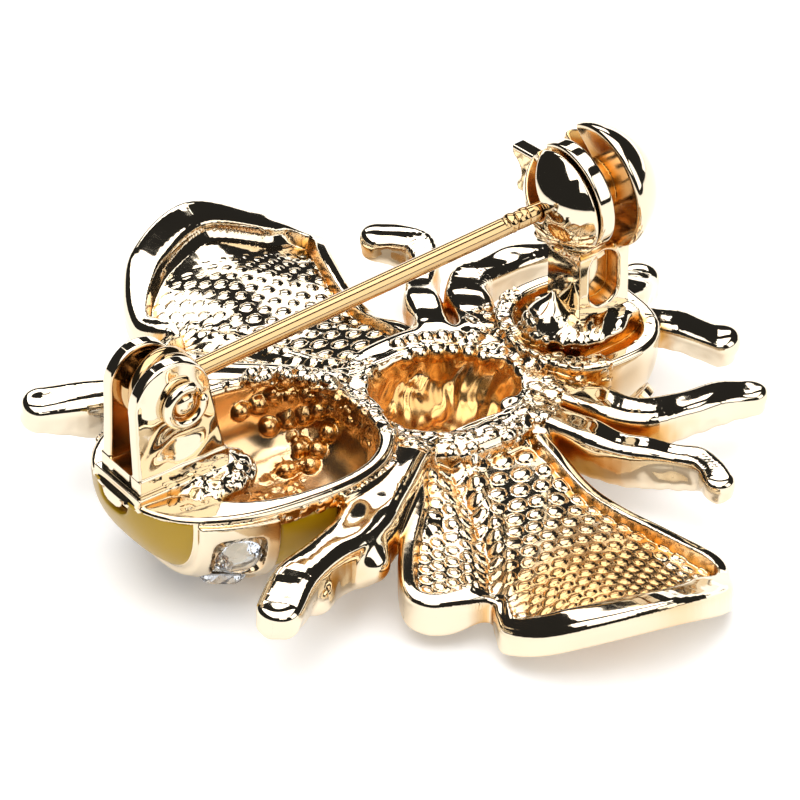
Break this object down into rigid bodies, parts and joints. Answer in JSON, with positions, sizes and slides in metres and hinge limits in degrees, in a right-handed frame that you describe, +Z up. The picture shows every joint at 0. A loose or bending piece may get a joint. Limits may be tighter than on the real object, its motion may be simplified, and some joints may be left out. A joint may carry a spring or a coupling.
{
  "type": "insect brooch",
  "caption": "Bee brooch seen from its back: hollow cast bee with enamel and stones below, hinged pin wire and ball safety catch above.",
  "frame": {"origin": "on the surface that the brooch lies on, face down, under the middle of its length and width", "axes": "+X towards the bee's side with the washer and curl of the hinge rivet (wing to wing), +Y from the tail to the head along the pin, +Z up out of the brooch's back"},
  "size_m": [0.0404, 0.035, 0.0155],
  "materials": {
    "plated_casting": "mirror-bright pale champagne-gold plating on a zinc casting",
    "yellow_enamel": "glossy mustard-yellow epoxy enamel",
    "clear_stone": "clear faceted glass stone with a silvered back",
    "grey_stone": "small clear glass stone that looks grey in its cup",
    "plated_finding": "mirror-bright pale champagne-gold plating",
    "gold_wire": "drawn pin wire with warmer yellow-gold plating"
  },
  "bodies": {
    "brooch": {"body_casting": "plated_casting", "enamel_tail": "yellow_enamel", "enamel_middle": "yellow_enamel", "tail_stone_1": "clear_stone", "tail_stone_2": "clear_stone", "tail_stone_3": "clear_stone", "tail_stone_4": "clear_stone", "tail_stone_5": "clear_stone", "waist_stone_1": "clear_stone", "waist_stone_2": "clear_stone", "waist_stone_3": "clear_stone", "waist_stone_4": "clear_stone", "waist_stone_5": "clear_stone", "eye_stone_near": "grey_stone", "eye_stone_far": "grey_stone", "hinge_bracket": "plated_finding", "hinge_rivet": "plated_finding", "catch_housing": "plated_finding"},
    "pin": {"pin_stem": "gold_wire"},
    "catch_lock": {"catch_ring": "plated_finding"}
  },
  "joints": [
    {"name": "pin_hinge", "type": "hinge", "parent": "brooch", "child": "pin", "pos_m": [0, -0.01453, 0.01145], "axis": [1, 0, 0], "range_deg": [0, 80]},
    {"name": "catch_turn", "type": "hinge", "parent": "brooch", "child": "catch_lock", "pos_m": [0, 0.01054, 0.01266], "axis": [0, 0.9988, 0.048], "range_deg": [0, 80]}
  ]
}
